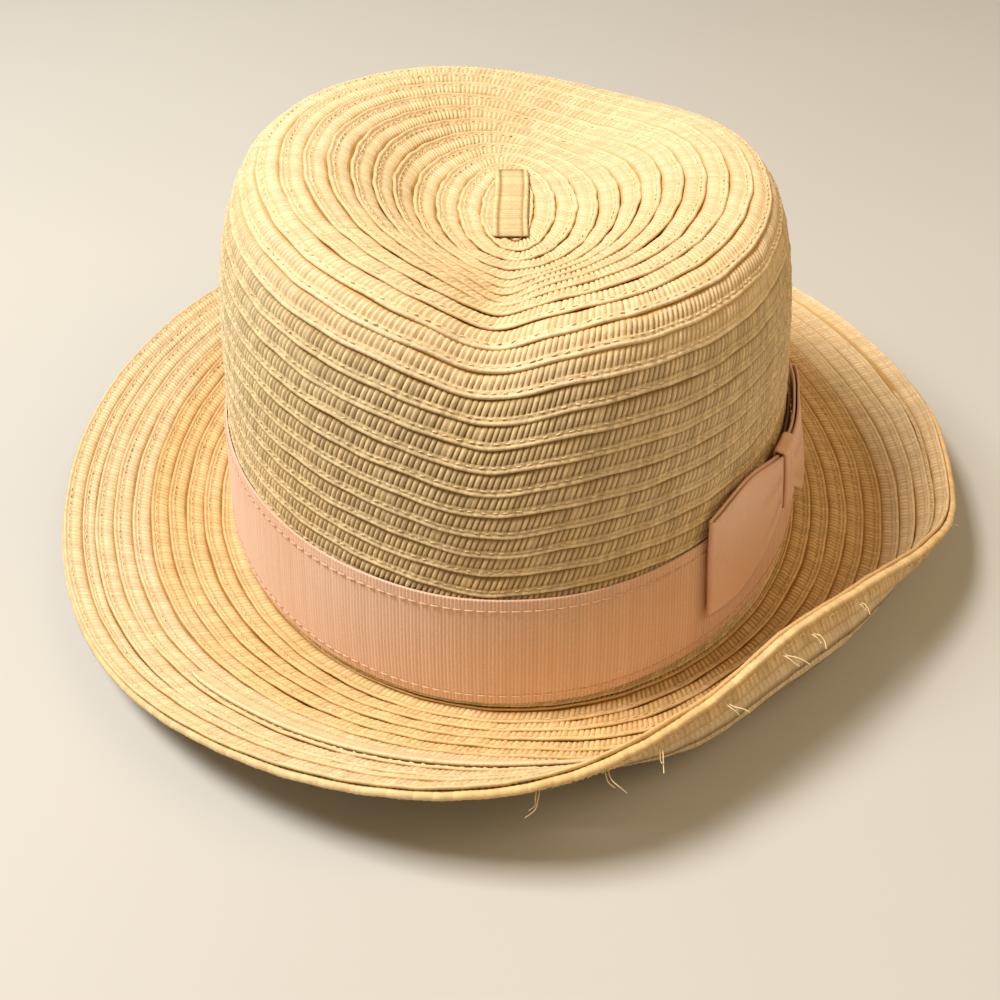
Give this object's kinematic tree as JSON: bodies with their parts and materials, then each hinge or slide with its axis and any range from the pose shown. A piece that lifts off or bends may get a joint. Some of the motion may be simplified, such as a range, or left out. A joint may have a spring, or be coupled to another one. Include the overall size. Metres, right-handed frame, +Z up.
{
  "type": "straw trilby hat",
  "caption": "Crown of sewn straw braid with a dished top and a brim turned up all round, a ribbon band and a flat side bow; worn on the head.",
  "frame": {"origin": "on the surface the hat stands on, under the middle of the brim's outline", "axes": "+Z up through the crown, -Y towards the front of the hat, +X towards the side with the bow"},
  "size_m": [0.2688, 0.2966, 0.1096],
  "materials": {
    "straw": "woven paper straw, matt with a soft sheen",
    "ribbon": "ribbed grosgrain, soft sheen",
    "thread": "smooth clear-cream thread",
    "cotton": "matt twill",
    "steel": "plain wire"
  },
  "bodies": {
    "hat": {"crown_button": "straw", "crown_tip": "straw", "crown_side": "straw", "brim": "straw", "brim_edge_row": "straw", "brim_short_row": "straw", "hat_band": "ribbon", "bow_knot": "ribbon", "band_stitch_lower": "thread", "band_stitch_upper": "thread", "sweatband_stitch": "thread", "edge_thread_1": "thread", "edge_thread_2": "thread", "edge_thread_3": "thread", "edge_thread_4": "thread", "edge_thread_5": "thread", "edge_thread_6": "thread", "edge_thread_7": "thread", "edge_thread_8": "thread", "sweatband": "cotton", "brim_wire": "steel"},
    "front_loop": {"bow_front_loop": "ribbon"},
    "back_loop": {"bow_back_loop": "ribbon"},
    "label": {"care_label": "cotton"}
  },
  "joints": [
    {"name": "front_loop_lift", "type": "hinge", "parent": "hat", "child": "front_loop", "pos_m": [0.07104, -0.05794, 0.041], "axis": [0, 0, 1], "range_deg": [0, 12], "stiffness_Nm_per_rad": 0.002},
    {"name": "back_loop_lift", "type": "hinge", "parent": "hat", "child": "back_loop", "pos_m": [0.07416, -0.05155, 0.041], "axis": [0, 0, -1], "range_deg": [0, 12], "stiffness_Nm_per_rad": 0.002},
    {"name": "label_flip", "type": "hinge", "parent": "hat", "child": "label", "pos_m": [0.00086, 0.09285, 0.032], "axis": [-1, 0, 0], "range_deg": [0, 85]}
  ]
}
